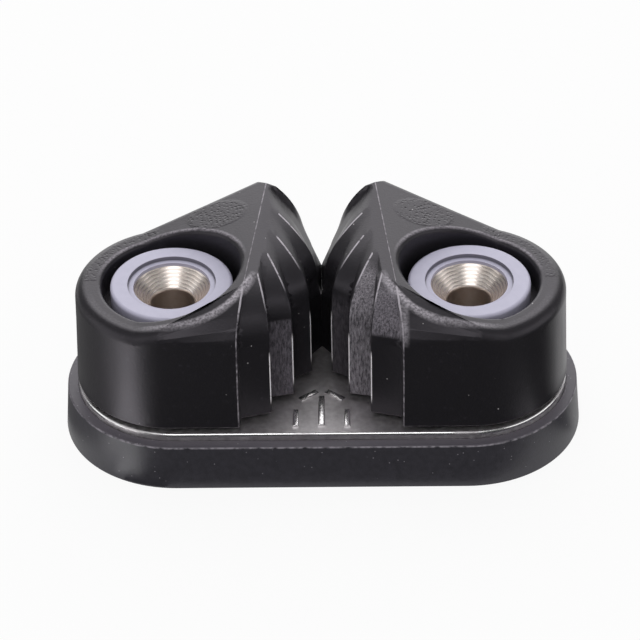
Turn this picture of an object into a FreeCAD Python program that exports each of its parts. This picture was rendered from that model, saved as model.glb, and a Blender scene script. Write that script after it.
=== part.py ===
import FreeCAD
import Part
import Sketcher
import math
import os

# Cam cleat: two sprung, toothed cams that pinch a rope running between them.
# A moulded riser carries a stainless plate, and two stainless sleeves are riveted to that plate.
# Each cam turns on a plastic bush round its sleeve, lies on a thin thrust washer, and is closed
# by a torsion spring wound in a recess in its underside.
# Millimetres. The origin is the centre of the riser's underside, +Z is up, X runs from pivot to
# pivot, and the load pulls the rope towards -Y, which closes the cams.
# Each cam is drawn about its own pivot, with +X towards the rope and +Y towards its nose.

Vector = FreeCAD.Vector
Rotation = FreeCAD.Rotation
Placement = FreeCAD.Placement

DRIVING_SIZES = [
    ("hole_spacing", 38.0, "centre to centre of the two screw holes, which are the cams' pivots"),
    ("screw_hole_diameter", 5.6, "straight hole for the fixing screw, through sleeve and riser"),
    ("riser_height", 6.3, "underside of the riser to its top face"),
    ("outline_spacing", 37.3, "centre to centre of the round ends of riser and plate"),
    ("riser_base_radius", 15.15, "end radius of the slot-shaped riser at its underside"),
    ("riser_top_radius", 14.62, "end radius of the riser at its top face"),
    ("riser_edge_round", 0.2, "rounded top edge of the riser"),
    ("plate_radius", 13.2, "end radius of the slot-shaped plate"),
    ("plate_thickness", 1.3, "stainless plate"),
    ("plate_sink", 0.3, "depth of the seat in the riser that the plate lies in"),
    ("plate_edge_round", 0.3, "rolled top edge of the plate"),
    ("seat_clearance", 0.08, "gap round the plate in its seat"),
    ("fixed_clearance", 0.02, "radial gap between pieces that don't turn on each other"),
    ("running_clearance", 0.05, "radial gap between bush and cam"),
    ("lift_clearance", 0.1, "gap above and below the cam's hub"),
    ("bush_top", 21.6, "top face of the bush above the riser's underside"),
    ("bush_flange_radius", 7.87, "flange that keeps the cam down"),
    ("bush_flange_thickness", 3.2, "flange of the bush"),
    ("bush_flange_round", 0.45, "rounded top edge of the flange"),
    ("bush_radius", 6.45, "outside of the bush, on which the cam turns"),
    ("bush_step_radius", 5.65, "step round the sleeve's head in the top of the bush"),
    ("bush_step_depth", 0.5, "depth of that step"),
    ("sleeve_sink", 0.45, "how far the sleeve's head lies below the step"),
    ("sleeve_head_radius", 4.9, "head of the sleeve, and the mouth of its countersink"),
    ("sleeve_head_height", 2.7, "head of the sleeve"),
    ("sleeve_tube_radius", 4.5, "outside of the sleeve below its head"),
    ("sleeve_spigot_radius", 4.0, "end of the sleeve that goes through the plate"),
    ("rivet_radius", 4.9, "end of the sleeve turned over under the plate"),
    ("rivet_height", 0.5, "thickness of that turned-over end"),
    ("countersink_half_angle", 44.0, "slope of the screw's seat to the sleeve's axis"),
    ("seat_lip_round", 0.6, "rounded lip where that seat runs into the straight hole"),
    ("washer_thickness", 0.65, "thrust washer under the cam"),
    ("washer_radius", 8.1, "outside of the thrust washer"),
    ("cam_wall_radius", 12.9, "round outer wall of the cam about its pivot, at its underside"),
    ("cam_wall_draft", 2.4, "lean of that wall, in degrees, so that it leaves the mould"),
    ("cam_back_height", 13.75, "underside of the cam to its flat top beside the pocket"),
    ("ramp_start", -4.0, "where the top begins to climb, from the pivot towards the rope"),
    ("ramp_slope", 0.247, "rise of the top for each millimetre towards the rope"),
    ("cam_shoulder_height", 10.95, "straight part of the jaw, from the underside of the cam"),
    ("jaw_top_margin", 0.5, "how far above the nose's tip the jaw would round out"),
    ("jaw_roundness", 3.2, "2 rounds the jaw as an ellipse, and more makes it fuller"),
    ("nose_roundness", 1.3, "the same at the nose, which is nearly straight"),
    ("nose_lean", 0.17, "share of its way to the crown that the nose has leaned in at the shoulder"),
    ("nose_lean_height", 8.45, "where that lean starts, from the underside of the cam"),
    ("front_angle", -95.0, "direction in which the round wall ends on the side of the load"),
    ("front_edge_x", -1.2, "where the front wall's upper edge leaves the round wall"),
    ("front_edge_y", -11.2, "where the front wall's upper edge leaves the round wall"),
    ("front_corner_x", 8.6, "corner where the front wall ends and the teeth begin"),
    ("front_corner_depth", 12.6, "front wall's distance from the pivot"),
    ("front_step", 1.7, "step back from the front corner to the first tooth"),
    ("crest_angle", -37.8, "direction of the first tooth's edge from the pivot"),
    ("crest_pitch", 16.7, "turn from one tooth's edge to the next"),
    ("crest_radius", 16.04, "distance of the first tooth's edge from the pivot"),
    ("crest_curve", 1.6, "1 lets the edges swing out evenly to the rope's middle, and more makes it later"),
    ("jaw_clearance", 0.16, "gap between the closed jaws at the rope's middle"),
    ("tooth_flat", 3.15, "gripping flat behind each tooth's edge"),
    ("tooth_relief", 0.3, "how far that flat falls back behind the edge"),
    ("ridge_front_x", 9.35, "front end of the ridge between top and jaw"),
    ("ridge_front_y", -5.3, "front end of the ridge between top and jaw"),
    ("ridge_back_x", 11.8, "nose end of the ridge"),
    ("ridge_back_y", 15.7, "nose end of the ridge"),
    ("crown_slope", 0.1, "fall of the narrow crown from the ridge towards the rope"),
    ("crown_front_width", 0.9, "width of the crown at the front end of the ridge"),
    ("crown_back_width", 0.4, "width of the crown at the nose"),
    ("crown_bulge", 1.15, "how much wider than that the crown is halfway along"),
    ("crown_notch", 0.35, "what is left of each step between the teeth at the crown"),
    ("nose_side_x", 17.2, "side of the nose behind the last tooth, at its foot"),
    ("nose_side_y", 13.8, "side of the nose behind the last tooth, at its foot"),
    ("nose_back_x", 11.8, "back of the nose, on the straight line from the round wall"),
    ("nose_back_y", 18.3, "back of the nose, on the straight line from the round wall"),
    ("nose_top_x", 13.1, "tip of the nose at its top"),
    ("nose_top_y", 15.6, "tip of the nose at its top"),
    ("nose_bend_x", 10.1, "where the blunt top of the nose leaves its straight back"),
    ("nose_bend_y", 17.1, "where the blunt top of the nose leaves its straight back"),
    ("back_angle", 115.0, "direction in which the round wall runs out into that line"),
    ("cam_edge_round", 1.5, "rounded top edge of the round wall and of the nose's back"),
    ("pocket_radius", 8.95, "pocket round the bush's flange"),
    ("spring_recess_inner_radius", 8.3, "hub that the spring is wound round"),
    ("spring_recess_outer_radius", 11.2, "outer wall of the spring's recess"),
    ("spring_recess_depth", 5.0, "depth of the spring's recess"),
    ("spring_wire_diameter", 1.2, "wire of the torsion spring"),
    ("spring_coil_radius", 9.7, "mean radius of the spring's coil"),
    ("spring_pitch", 1.35, "rise of the coil for each turn"),
    ("spring_turns", 2.25, "turns of the coil"),
    ("spring_leg_clearance", 0.15, "gap round the spring's two bent ends in their holes"),
    ("spring_leg_grip", 2.6, "length of the upper end inside the cam"),
]

# Where the teeth's lines end on the crown, as shares of the way along the ridge from its front.
TOOTH_COUNT = 5
FIRST_TOOTH_ALONG = 0.138
TOOTH_ALONG = 0.2155
ROOT_LAG = 0.042
# The first tooth that reaches the rope's middle, counted from 0.
MEETING_TOOTH = 3
# How late the jaw's rounding turns into the nose's, and the share that the nose's own side takes.
NOSE_BLEND = 4
NOSE_SIDE_ALONG = 0.91
# Shares of the rounding height at which the lofts have a section.
FRONT_STEPS = (0.0, 0.2, 0.4, 0.6, 0.8, 0.9, 1.0)
ROUND_STEPS = (0.0, 0.2, 0.4, 0.6, 0.76, 0.88, 0.96)

document = FreeCAD.newDocument("cam_cleat")


def make_sheet():
    """Put the driving sizes in a sheet, one row each: alias, number, what it is."""
    sheet = document.addObject("Spreadsheet::Sheet", "Sizes")
    for row, (alias, value, meaning) in enumerate(DRIVING_SIZES, start=1):
        sheet.set(f"A{row}", alias)
        sheet.set(f"B{row}", str(value))
        sheet.setAlias(f"B{row}", alias)
        sheet.set(f"C{row}", meaning)
    document.recompute()
    return sheet


make_sheet()

# Heights that several pieces share, as formulas on the sheet.
PLATE_UNDERSIDE = "(Sizes.riser_height - Sizes.plate_sink)"
PLATE_TOP = f"({PLATE_UNDERSIDE} + Sizes.plate_thickness)"
WASHER_TOP = f"({PLATE_TOP} + Sizes.washer_thickness)"
CAM_UNDERSIDE = f"({WASHER_TOP} + Sizes.lift_clearance)"
CAM_BACK_TOP = f"({CAM_UNDERSIDE} + Sizes.cam_back_height)"
FLANGE_UNDERSIDE = "(Sizes.bush_top - Sizes.bush_flange_thickness)"
POCKET_FLOOR = f"({FLANGE_UNDERSIDE} - Sizes.lift_clearance)"
STEP_FLOOR = "(Sizes.bush_top - Sizes.bush_step_depth)"
SLEEVE_TOP = f"({STEP_FLOOR} - Sizes.sleeve_sink)"
HEAD_UNDERSIDE = f"({SLEEVE_TOP} - Sizes.sleeve_head_height)"
BUSH_BORE = "(Sizes.sleeve_tube_radius + Sizes.fixed_clearance)"
CAM_BORE = "(Sizes.bush_radius + Sizes.running_clearance)"
SCREW_RADIUS = "(Sizes.screw_hole_diameter / 2)"
SPRING_START = f"({CAM_UNDERSIDE} + Sizes.spring_wire_diameter / 2 + 2 * Sizes.lift_clearance)"
ROUND_HEIGHT = (
    "(Sizes.cam_back_height + (Sizes.ridge_back_x - Sizes.ramp_start) * Sizes.ramp_slope"
    " + Sizes.jaw_top_margin - Sizes.cam_shoulder_height)"
)
CREST_RISE = (
    "Sizes.cam_back_height + (Sizes.ridge_front_x - Sizes.ramp_start) * Sizes.ramp_slope"
    " - Sizes.cam_shoulder_height"
)
BLOCK_REACH = "(1.7 * Sizes.cam_wall_radius)"
BLOCK_HEIGHT = f"(Sizes.cam_back_height + ({BLOCK_REACH} - Sizes.ramp_start) * Sizes.ramp_slope + 1)"
LEG_HOLE_RADIUS = "(Sizes.spring_wire_diameter / 2 + Sizes.spring_leg_clearance)"
JAW_REACH = "((Sizes.hole_spacing - Sizes.jaw_clearance) / 2)"


def origin_plane(body, role):
    """One of the body's own three base planes."""
    return next(item for item in body.Origin.OriginFeatures if item.Role == role)


def start_sketch(body, name, role="XY_Plane", height="0"):
    """An empty sketch on a base plane of the body, lifted along that plane's normal."""
    sketch = body.newObject("Sketcher::SketchObject", name)
    sketch.AttachmentSupport = [(origin_plane(body, role), "")]
    sketch.MapMode = "FlatFace"
    if height != "0":
        sketch.setExpression("AttachmentOffset.Base.z", height)
    return sketch


def bind(sketch, constraint, name, formula):
    """Add one measured constraint and tie it to the sheet."""
    index = sketch.addConstraint(constraint)
    sketch.renameConstraint(index, name)
    sketch.setExpression(f"Constraints.{name}", formula)


def formula_value(formula):
    """What a formula on the sheet comes to, as a plain number."""
    return float(document.getObject("Sizes").evalExpression(formula.replace("Sizes.", "")))


def add_circle(sketch, radius, name, centre=("0", "0")):
    """A circle tied to the sheet by its radius, and by its centre where that isn't the pivot."""
    x, y = (formula_value(part) for part in centre)
    circle = sketch.addGeometry(Part.Circle(Vector(x, y, 0), Vector(0, 0, 1), formula_value(radius)))
    bind(sketch, Sketcher.Constraint("Radius", circle, formula_value(radius)), name + "_radius", radius)
    if centre == ("0", "0"):
        sketch.addConstraint(Sketcher.Constraint("Coincident", circle, 3, -1, 1))
    else:
        bind(sketch, Sketcher.Constraint("DistanceX", circle, 3, x), name + "_x", centre[0])
        bind(sketch, Sketcher.Constraint("DistanceY", circle, 3, y), name + "_y", centre[1])
    return circle


def add_polygon(sketch, corners):
    """A closed outline of straight lines, with both places of every corner tied to the sheet."""
    places = [Vector(formula_value(x), formula_value(y), 0) for x, y in corners]
    lines = [
        sketch.addGeometry(Part.LineSegment(places[index], places[(index + 1) % len(places)]))
        for index in range(len(places))
    ]
    for index, line in enumerate(lines):
        sketch.addConstraint(Sketcher.Constraint("Coincident", line, 2, lines[(index + 1) % len(lines)], 1))
        x, y = corners[index]
        bind(sketch, Sketcher.Constraint("DistanceX", line, 1, places[index].x), f"x{index}", x)
        bind(sketch, Sketcher.Constraint("DistanceY", line, 1, places[index].y), f"y{index}", y)
    return lines


def add_slot_outline(sketch, end_radius):
    """Two half circles about the pivots, joined by straight sides."""
    half = formula_value("Sizes.outline_spacing / 2")
    radius = formula_value(end_radius)
    upward = Vector(0, 0, 1)
    right_circle = Part.Circle(Vector(half, 0, 0), upward, radius)
    left_circle = Part.Circle(Vector(-half, 0, 0), upward, radius)
    right = sketch.addGeometry(Part.ArcOfCircle(right_circle, -math.pi / 2, math.pi / 2))
    left = sketch.addGeometry(Part.ArcOfCircle(left_circle, math.pi / 2, 3 * math.pi / 2))
    back = sketch.addGeometry(Part.LineSegment(Vector(half, radius, 0), Vector(-half, radius, 0)))
    front = sketch.addGeometry(Part.LineSegment(Vector(-half, -radius, 0), Vector(half, -radius, 0)))
    for first, first_end, second, second_end in (
        (right, 2, back, 1),
        (back, 2, left, 1),
        (left, 2, front, 1),
        (front, 2, right, 1),
    ):
        sketch.addConstraint(Sketcher.Constraint("Tangent", first, first_end, second, second_end))
    sketch.addConstraint(Sketcher.Constraint("Equal", right, left))
    sketch.addConstraint(Sketcher.Constraint("PointOnObject", right, 3, -1))
    sketch.addConstraint(Sketcher.Constraint("PointOnObject", left, 3, -1))
    right_place = Sketcher.Constraint("DistanceX", right, 3, half)
    bind(sketch, right_place, "right_centre", "Sizes.outline_spacing / 2")
    left_place = Sketcher.Constraint("DistanceX", left, 3, -half)
    bind(sketch, left_place, "left_centre", "-Sizes.outline_spacing / 2")
    bind(sketch, Sketcher.Constraint("Radius", right, radius), "end_radius", end_radius)


def start_body(label):
    body = document.addObject("PartDesign::Body", label)
    body.Label = label
    return body


def add_pad(body, name, sketch, length, taper=None):
    pad = body.newObject("PartDesign::Pad", name)
    pad.Profile = sketch
    pad.setExpression("Length", length)
    if taper:
        pad.setExpression("TaperAngle", taper)
    document.recompute()
    return pad


def cut_pocket(body, name, sketch, length, upward=False):
    """Cut from the sketch down by a length, or up. The solid has to lose volume."""
    before = body.Shape.Volume
    pocket = body.newObject("PartDesign::Pocket", name)
    pocket.Profile = sketch
    pocket.Reversed = upward
    pocket.setExpression("Length", length)
    document.recompute()
    if body.Shape.Volume >= before:
        raise RuntimeError(f"{name} cuts nothing from {body.Label}")
    return pocket


def edges_where(feature, wanted):
    """Names of a feature's edges for which wanted(edge) is true."""
    edges = feature.Shape.Edges
    return [f"Edge{number}" for number, edge in enumerate(edges, start=1) if wanted(edge)]


def round_edges(body, name, feature, wanted, radius):
    """Fillet the edges that the test picks."""
    names = edges_where(feature, wanted)
    if not names:
        raise RuntimeError(f"{name} finds no edge on {body.Label}")
    fillet = body.newObject("PartDesign::Fillet", name)
    fillet.Base = (feature, names)
    fillet.setExpression("Radius", radius)
    document.recompute()
    return fillet


def lies_at_height(edge, height):
    return all(abs(vertex.Z - height) < 0.001 for vertex in edge.Vertexes)


def turned_piece(label, corners, side):
    """A piece turned about a pivot: its half section in the XZ plane, revolved once."""
    body = start_body(label)
    section = start_sketch(body, label + "_section", "XZ_Plane")
    add_polygon(section, corners)
    turned = body.newObject("PartDesign::Revolution", label + "_turned")
    turned.Profile = section
    turned.ReferenceAxis = (section, ["V_Axis"])
    turned.Angle = 360
    body.setExpression("Placement.Base.x", f"{side} * Sizes.hole_spacing / 2")
    document.recompute()
    return body


def make_riser():
    """Moulded slot-shaped block, wider at its foot, with a shallow seat for the plate."""
    body = start_body("base_riser")
    outline = start_sketch(body, "riser_outline")
    add_slot_outline(outline, "Sizes.riser_base_radius")
    flare = "-atan((Sizes.riser_base_radius - Sizes.riser_top_radius) / Sizes.riser_height)"
    block = add_pad(body, "riser_block", outline, "Sizes.riser_height", flare)
    top = formula_value("Sizes.riser_height")
    round_edges(body, "riser_edge", block, lambda edge: lies_at_height(edge, top), "Sizes.riser_edge_round")
    seat = start_sketch(body, "plate_seat", height="Sizes.riser_height")
    add_slot_outline(seat, "Sizes.plate_radius + Sizes.seat_clearance")
    cut_pocket(body, "plate_seat_pocket", seat, "Sizes.plate_sink")
    holes = start_sketch(body, "screw_holes", height="Sizes.riser_height")
    reliefs = start_sketch(body, "rivet_reliefs", height=PLATE_UNDERSIDE)
    for side, name in ((-1, "left"), (1, "right")):
        pivot = (f"{side} * Sizes.hole_spacing / 2", "0")
        add_circle(holes, SCREW_RADIUS, name, pivot)
        add_circle(reliefs, "Sizes.rivet_radius + 2 * Sizes.seat_clearance", name, pivot)
    cut_pocket(body, "screw_hole_pocket", holes, "Sizes.riser_height + 1")
    cut_pocket(body, "rivet_relief_pocket", reliefs, "Sizes.rivet_height + Sizes.seat_clearance")


def make_plate():
    """Polished stainless plate with a rolled top edge, riveted to both sleeves."""
    body = start_body("base_plate")
    outline = start_sketch(body, "plate_outline", height=PLATE_UNDERSIDE)
    add_slot_outline(outline, "Sizes.plate_radius")
    sheet_metal = add_pad(body, "plate_sheet", outline, "Sizes.plate_thickness")
    top = formula_value(PLATE_TOP)

    def is_top_edge(edge):
        return lies_at_height(edge, top)

    round_edges(body, "plate_edge", sheet_metal, is_top_edge, "Sizes.plate_edge_round")
    holes = start_sketch(body, "spigot_holes", height=PLATE_TOP)
    for side, name in ((-1, "left"), (1, "right")):
        pivot = f"{side} * Sizes.hole_spacing / 2"
        add_circle(holes, "Sizes.sleeve_spigot_radius + Sizes.fixed_clearance", name, (pivot, "0"))
        leg = f"{side} * (Sizes.hole_spacing / 2 + Sizes.spring_coil_radius)"
        add_circle(holes, LEG_HOLE_RADIUS, name + "_leg", (leg, "0"))
    cut_pocket(body, "spigot_hole_pocket", holes, "Sizes.plate_thickness + 0.1")


def make_sleeve(label, side):
    """Stainless sleeve: countersunk head, tube, and an end riveted over under the plate."""
    spigot_end = f"({PLATE_UNDERSIDE} - Sizes.rivet_height)"
    seat_drop = f"(Sizes.sleeve_head_radius - {SCREW_RADIUS}) / tan(Sizes.countersink_half_angle)"
    corners = [
        (SCREW_RADIUS, spigot_end),
        ("Sizes.rivet_radius", spigot_end),
        ("Sizes.rivet_radius", PLATE_UNDERSIDE),
        ("Sizes.sleeve_spigot_radius", PLATE_UNDERSIDE),
        ("Sizes.sleeve_spigot_radius", PLATE_TOP),
        ("Sizes.sleeve_tube_radius", PLATE_TOP),
        ("Sizes.sleeve_tube_radius", HEAD_UNDERSIDE),
        ("Sizes.sleeve_head_radius", HEAD_UNDERSIDE),
        ("Sizes.sleeve_head_radius", SLEEVE_TOP),
        (SCREW_RADIUS, f"{SLEEVE_TOP} - {seat_drop}"),
    ]
    body = turned_piece(label, corners, side)
    lip = formula_value(f"{SLEEVE_TOP} - {seat_drop}")

    def is_lip(edge):
        return lies_at_height(edge, lip)

    round_edges(body, label + "_lip", body.Tip, is_lip, "Sizes.seat_lip_round")


def make_bush(label, side):
    """Plastic bush that stands on the plate, with the flange that keeps the cam down."""
    head_bore = "(Sizes.sleeve_head_radius + Sizes.fixed_clearance)"
    corners = [
        (BUSH_BORE, PLATE_TOP),
        ("Sizes.bush_radius", PLATE_TOP),
        ("Sizes.bush_radius", FLANGE_UNDERSIDE),
        ("Sizes.bush_flange_radius", FLANGE_UNDERSIDE),
        ("Sizes.bush_flange_radius", "Sizes.bush_top"),
        ("Sizes.bush_step_radius", "Sizes.bush_top"),
        ("Sizes.bush_step_radius", STEP_FLOOR),
        (head_bore, STEP_FLOOR),
        (head_bore, HEAD_UNDERSIDE),
        (BUSH_BORE, HEAD_UNDERSIDE),
    ]
    body = turned_piece(label, corners, side)
    top = formula_value("Sizes.bush_top")
    outside = formula_value("Sizes.bush_flange_radius")

    def is_rim(edge):
        return lies_at_height(edge, top) and edge.BoundBox.XLength > 2 * outside - 0.01

    round_edges(body, label + "_rim", body.Tip, is_rim, "Sizes.bush_flange_round")


def make_washer(label, side):
    """Thin thrust washer between plate and cam."""
    inner = "(Sizes.bush_radius + Sizes.fixed_clearance)"
    corners = [
        (inner, PLATE_TOP),
        ("Sizes.washer_radius", PLATE_TOP),
        ("Sizes.washer_radius", WASHER_TOP),
        (inner, WASHER_TOP),
    ]
    turned_piece(label, corners, side)


def make_spring():
    """Torsion spring of the left cam, with one end down in the plate and one up in the cam."""
    body = start_body("spring_left")
    wire_radius = "Sizes.spring_wire_diameter / 2"
    section = start_sketch(body, "spring_section", "XZ_Plane")
    add_circle(section, wire_radius, "wire", ("Sizes.spring_coil_radius", SPRING_START))
    coil = body.newObject("PartDesign::AdditiveHelix", "spring_coil")
    coil.Profile = section
    coil.ReferenceAxis = (section, ["V_Axis"])
    coil.Mode = "pitch-turns-angle"
    coil.setExpression("Pitch", "Sizes.spring_pitch")
    coil.setExpression("Turns", "Sizes.spring_turns")
    document.recompute()
    lower = start_sketch(body, "spring_lower_leg", height=PLATE_UNDERSIDE)
    leg_radius = f"({wire_radius} - Sizes.fixed_clearance)"
    add_circle(lower, leg_radius, "wire", ("Sizes.spring_coil_radius", "0"))
    add_pad(body, "spring_lower_end", lower, f"{SPRING_START} - {PLATE_UNDERSIDE}")
    coil_top = f"({SPRING_START} + Sizes.spring_pitch * Sizes.spring_turns)"
    upper = start_sketch(body, "spring_upper_leg", height=coil_top)
    add_circle(upper, leg_radius, "wire", upper_leg_place())
    recess_top = f"({CAM_UNDERSIDE} + Sizes.spring_recess_depth)"
    add_pad(body, "spring_upper_end", upper, f"{recess_top} + Sizes.spring_leg_grip - {coil_top}")
    body.setExpression("Placement.Base.x", "-Sizes.hole_spacing / 2")
    body.Placement = Placement(body.Placement.Base, Rotation(Vector(0, 0, 1), 180))
    document.recompute()
    return body


def upper_leg_place():
    """The coil's upper end, from the pivot, before the spring is turned to face outwards."""
    end_angle = "360deg * Sizes.spring_turns"
    return (f"Sizes.spring_coil_radius * cos({end_angle})", f"Sizes.spring_coil_radius * sin({end_angle})")


def on_round_wall(angle, height):
    """A corner on the leaning round wall, at a height above the cam's underside."""
    radius = f"(Sizes.cam_wall_radius - {height} * tan(Sizes.cam_wall_draft))"
    return f"{radius} * cos({angle})", f"{radius} * sin({angle})"


def crest_place(number):
    """Edge of one tooth, in plan. The first swing out to the rope's middle, and the last keep to it."""
    angle = f"(Sizes.crest_angle + Sizes.crest_pitch * {number})"
    if number >= MEETING_TOOTH:
        return JAW_REACH, f"{JAW_REACH} * tan({angle})"
    meeting = f"({JAW_REACH} / cos(Sizes.crest_angle + Sizes.crest_pitch * {MEETING_TOOTH}))"
    share = f"({number} / {MEETING_TOOTH}) ^ Sizes.crest_curve"
    radius = f"(Sizes.crest_radius + ({meeting} - Sizes.crest_radius) * {share})"
    return f"{radius} * cos({angle})", f"{radius} * sin({angle})"


def ridge_place(along):
    """A point of the ridge in plan, at a share of the way from its front end to the nose."""
    x = f"(Sizes.ridge_front_x + (Sizes.ridge_back_x - Sizes.ridge_front_x) * {along})"
    y = f"(Sizes.ridge_front_y + (Sizes.ridge_back_y - Sizes.ridge_front_y) * {along})"
    return x, y


def crown_height(along, width):
    """Height above the cam's underside of the crown, this far to the rope's side of the ridge."""
    climb = f"({ridge_place(along)[0]} - Sizes.ramp_start) * Sizes.ramp_slope"
    return f"(Sizes.cam_back_height + {climb} - Sizes.crown_slope * {width})"


def crown_place(along, inset="0"):
    """Where a line of the jaw runs out on the crown: x, y and height above the cam's underside."""
    ridge_x, ridge_y = ridge_place(along)
    ends = f"Sizes.crown_front_width + (Sizes.crown_back_width - Sizes.crown_front_width) * {along}"
    width = f"({ends} + 4 * Sizes.crown_bulge * {along} * (1 - {along}) - {inset})"
    return f"({ridge_x} + {width})", ridge_y, crown_height(along, width)


def jaw_lines():
    """The lines up the toothed jaw: foot in plan, end on the crown, share of the way to the nose."""
    first_root = ("(Sizes.front_corner_x + 0.2)", "(Sizes.front_step - Sizes.front_corner_depth)")
    root_along = FIRST_TOOTH_ALONG - ROOT_LAG
    front_corner = ("Sizes.front_corner_x", "-Sizes.front_corner_depth")
    lines = [
        (front_corner, crown_place(0, "Sizes.crown_front_width"), 0),
        (first_root, crown_place(root_along, "Sizes.crown_notch"), root_along),
    ]
    for number in range(TOOTH_COUNT):
        along = FIRST_TOOTH_ALONG + TOOTH_ALONG * number
        x, y = crest_place(number)
        lines.append(((x, y), crown_place(along), along))
        if number + 1 < TOOTH_COUNT:
            root = (f"({x} - Sizes.tooth_relief)", f"({y} + Sizes.tooth_flat)")
            root_along = along + TOOTH_ALONG - ROOT_LAG
            lines.append((root, crown_place(root_along, "Sizes.crown_notch"), root_along))
    tip_height = crown_height(1, f"(Sizes.nose_top_x - {ridge_place(1)[0]})")
    tip = ("Sizes.nose_top_x", "Sizes.nose_top_y", tip_height)
    past_back = tuple(f"(2 * Sizes.nose_back_{axis} - Sizes.nose_side_{axis})" for axis in "xy")
    past_bend = tuple(f"(2 * Sizes.nose_bend_{axis} - Sizes.nose_top_{axis})" for axis in "xy")
    lines.append((("Sizes.nose_side_x", "Sizes.nose_side_y"), tip, NOSE_SIDE_ALONG))
    lines.append((past_back, (*past_bend, tip_height), NOSE_SIDE_ALONG))
    return lines


def drawn_in(share, along=0):
    """How far the jaw has rounded back, at a share of its rounding height and of the way to the nose."""
    change = "(Sizes.nose_roundness - Sizes.jaw_roundness)"
    power = f"(Sizes.jaw_roundness + {change} * {along ** NOSE_BLEND:.4f})"
    return f"(1 - (1 - ({share}) ^ {power}) ^ (1 / {power}))"


def jaw_section(height, share=None):
    """What is cut away before the jaw, at a height above the underside and a share of its rounding."""
    corners = []
    for (x, y), (end_x, end_y, end_height), along in jaw_lines():
        if share is None:
            corners.append((x, y))
            continue
        lean = f"(Sizes.nose_lean * {along ** NOSE_BLEND:.4f})"
        whole = drawn_in(f"({end_height} - Sizes.cam_shoulder_height) / {ROUND_HEIGHT}", along)
        part = f"({lean} + (1 - {lean}) * {drawn_in(share, along)} / {whole})"
        corners.append((f"({x} + ({end_x} - {x}) * {part})", f"({y} + ({end_y} - {y}) * {part})"))
    far = "2.5 * Sizes.cam_wall_radius"
    corners += [(far, far), (far, f"-{far}"), (corners[0][0], f"-{far}")]
    return corners


def make_loft(body, kind, name, sections):
    document.recompute()
    loft = body.newObject(kind, name)
    loft.Profile = sections[0]
    loft.Sections = sections[1:]
    document.recompute()
    return loft


def front_profile(x, start_depth, start_height, end_y):
    """Side view of what is cut away over the front wall at one place across the cam."""
    end_height = f"(Sizes.cam_back_height + ({x} - Sizes.ramp_start) * Sizes.ramp_slope)"
    whole_share = f"(({CREST_RISE}) / {ROUND_HEIGHT})"
    corners = []
    for step in FRONT_STEPS:
        part = f"{drawn_in(f'{step} * {whole_share}')} / {drawn_in(whole_share)}"
        y = f"(({end_y} + {start_depth}) * {part} - {start_depth})"
        height = f"({start_height} + ({end_height} - {start_height}) * {step})"
        corners.append((y, f"{CAM_UNDERSIDE} + {height}"))
    far = "2.5 * Sizes.cam_wall_radius"
    above = f"({CAM_UNDERSIDE} + {BLOCK_HEIGHT} + Sizes.cam_wall_radius)"
    corners += [(end_y, above), (f"-{far}", above), (f"-{far}", f"{CAM_UNDERSIDE} + {start_height}")]
    return corners


def cut_front(body):
    """Lean the upper front wall back: hardly at the round wall, and far at the ridge."""
    lean = "((Sizes.ridge_front_y - Sizes.front_edge_y) / (Sizes.ridge_front_x - Sizes.front_edge_x))"
    right = "(Sizes.ridge_front_x + 1)"
    left_start = "(Sizes.cam_back_height - Sizes.cam_edge_round)"
    left_depth = f"(Sizes.cam_wall_radius - {left_start} * tan(Sizes.cam_wall_draft))"
    right_depth = f"(Sizes.cam_wall_radius - Sizes.cam_shoulder_height * tan(Sizes.cam_wall_draft))"
    sections = []
    for name, x, depth, start, end_y in (
        ("front_left", "Sizes.front_edge_x", left_depth, left_start, "Sizes.front_edge_y"),
        ("front_right", right, right_depth, "Sizes.cam_shoulder_height", f"(Sizes.ridge_front_y + {lean})"),
    ):
        section = start_sketch(body, name, "YZ_Plane", x)
        add_polygon(section, front_profile(x, depth, start, end_y))
        sections.append(section)
    make_loft(body, "PartDesign::SubtractiveLoft", "front_rounding", sections)


def cut_jaw(body):
    """Cut the jaw: straight at its foot, leaning in at the nose, and rounding in above the shoulder."""
    shoulder = "Sizes.cam_shoulder_height"
    stages = [
        ("jaw_straight", [("-0.5", None), ("Sizes.nose_lean_height", None)]),
        ("jaw_lean", [("Sizes.nose_lean_height", None), (shoulder, 0)]),
        ("jaw_rounding", [(f"({shoulder} + {ROUND_HEIGHT} * {share})", share) for share in ROUND_STEPS]),
    ]
    for name, levels in stages:
        sections = []
        for number, (height, share) in enumerate(levels):
            section = start_sketch(body, f"{name}_{number}", height=f"{CAM_UNDERSIDE} + {height}")
            add_polygon(section, jaw_section(height, share))
            sections.append(section)
        make_loft(body, "PartDesign::SubtractiveLoft", name, sections)


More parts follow.
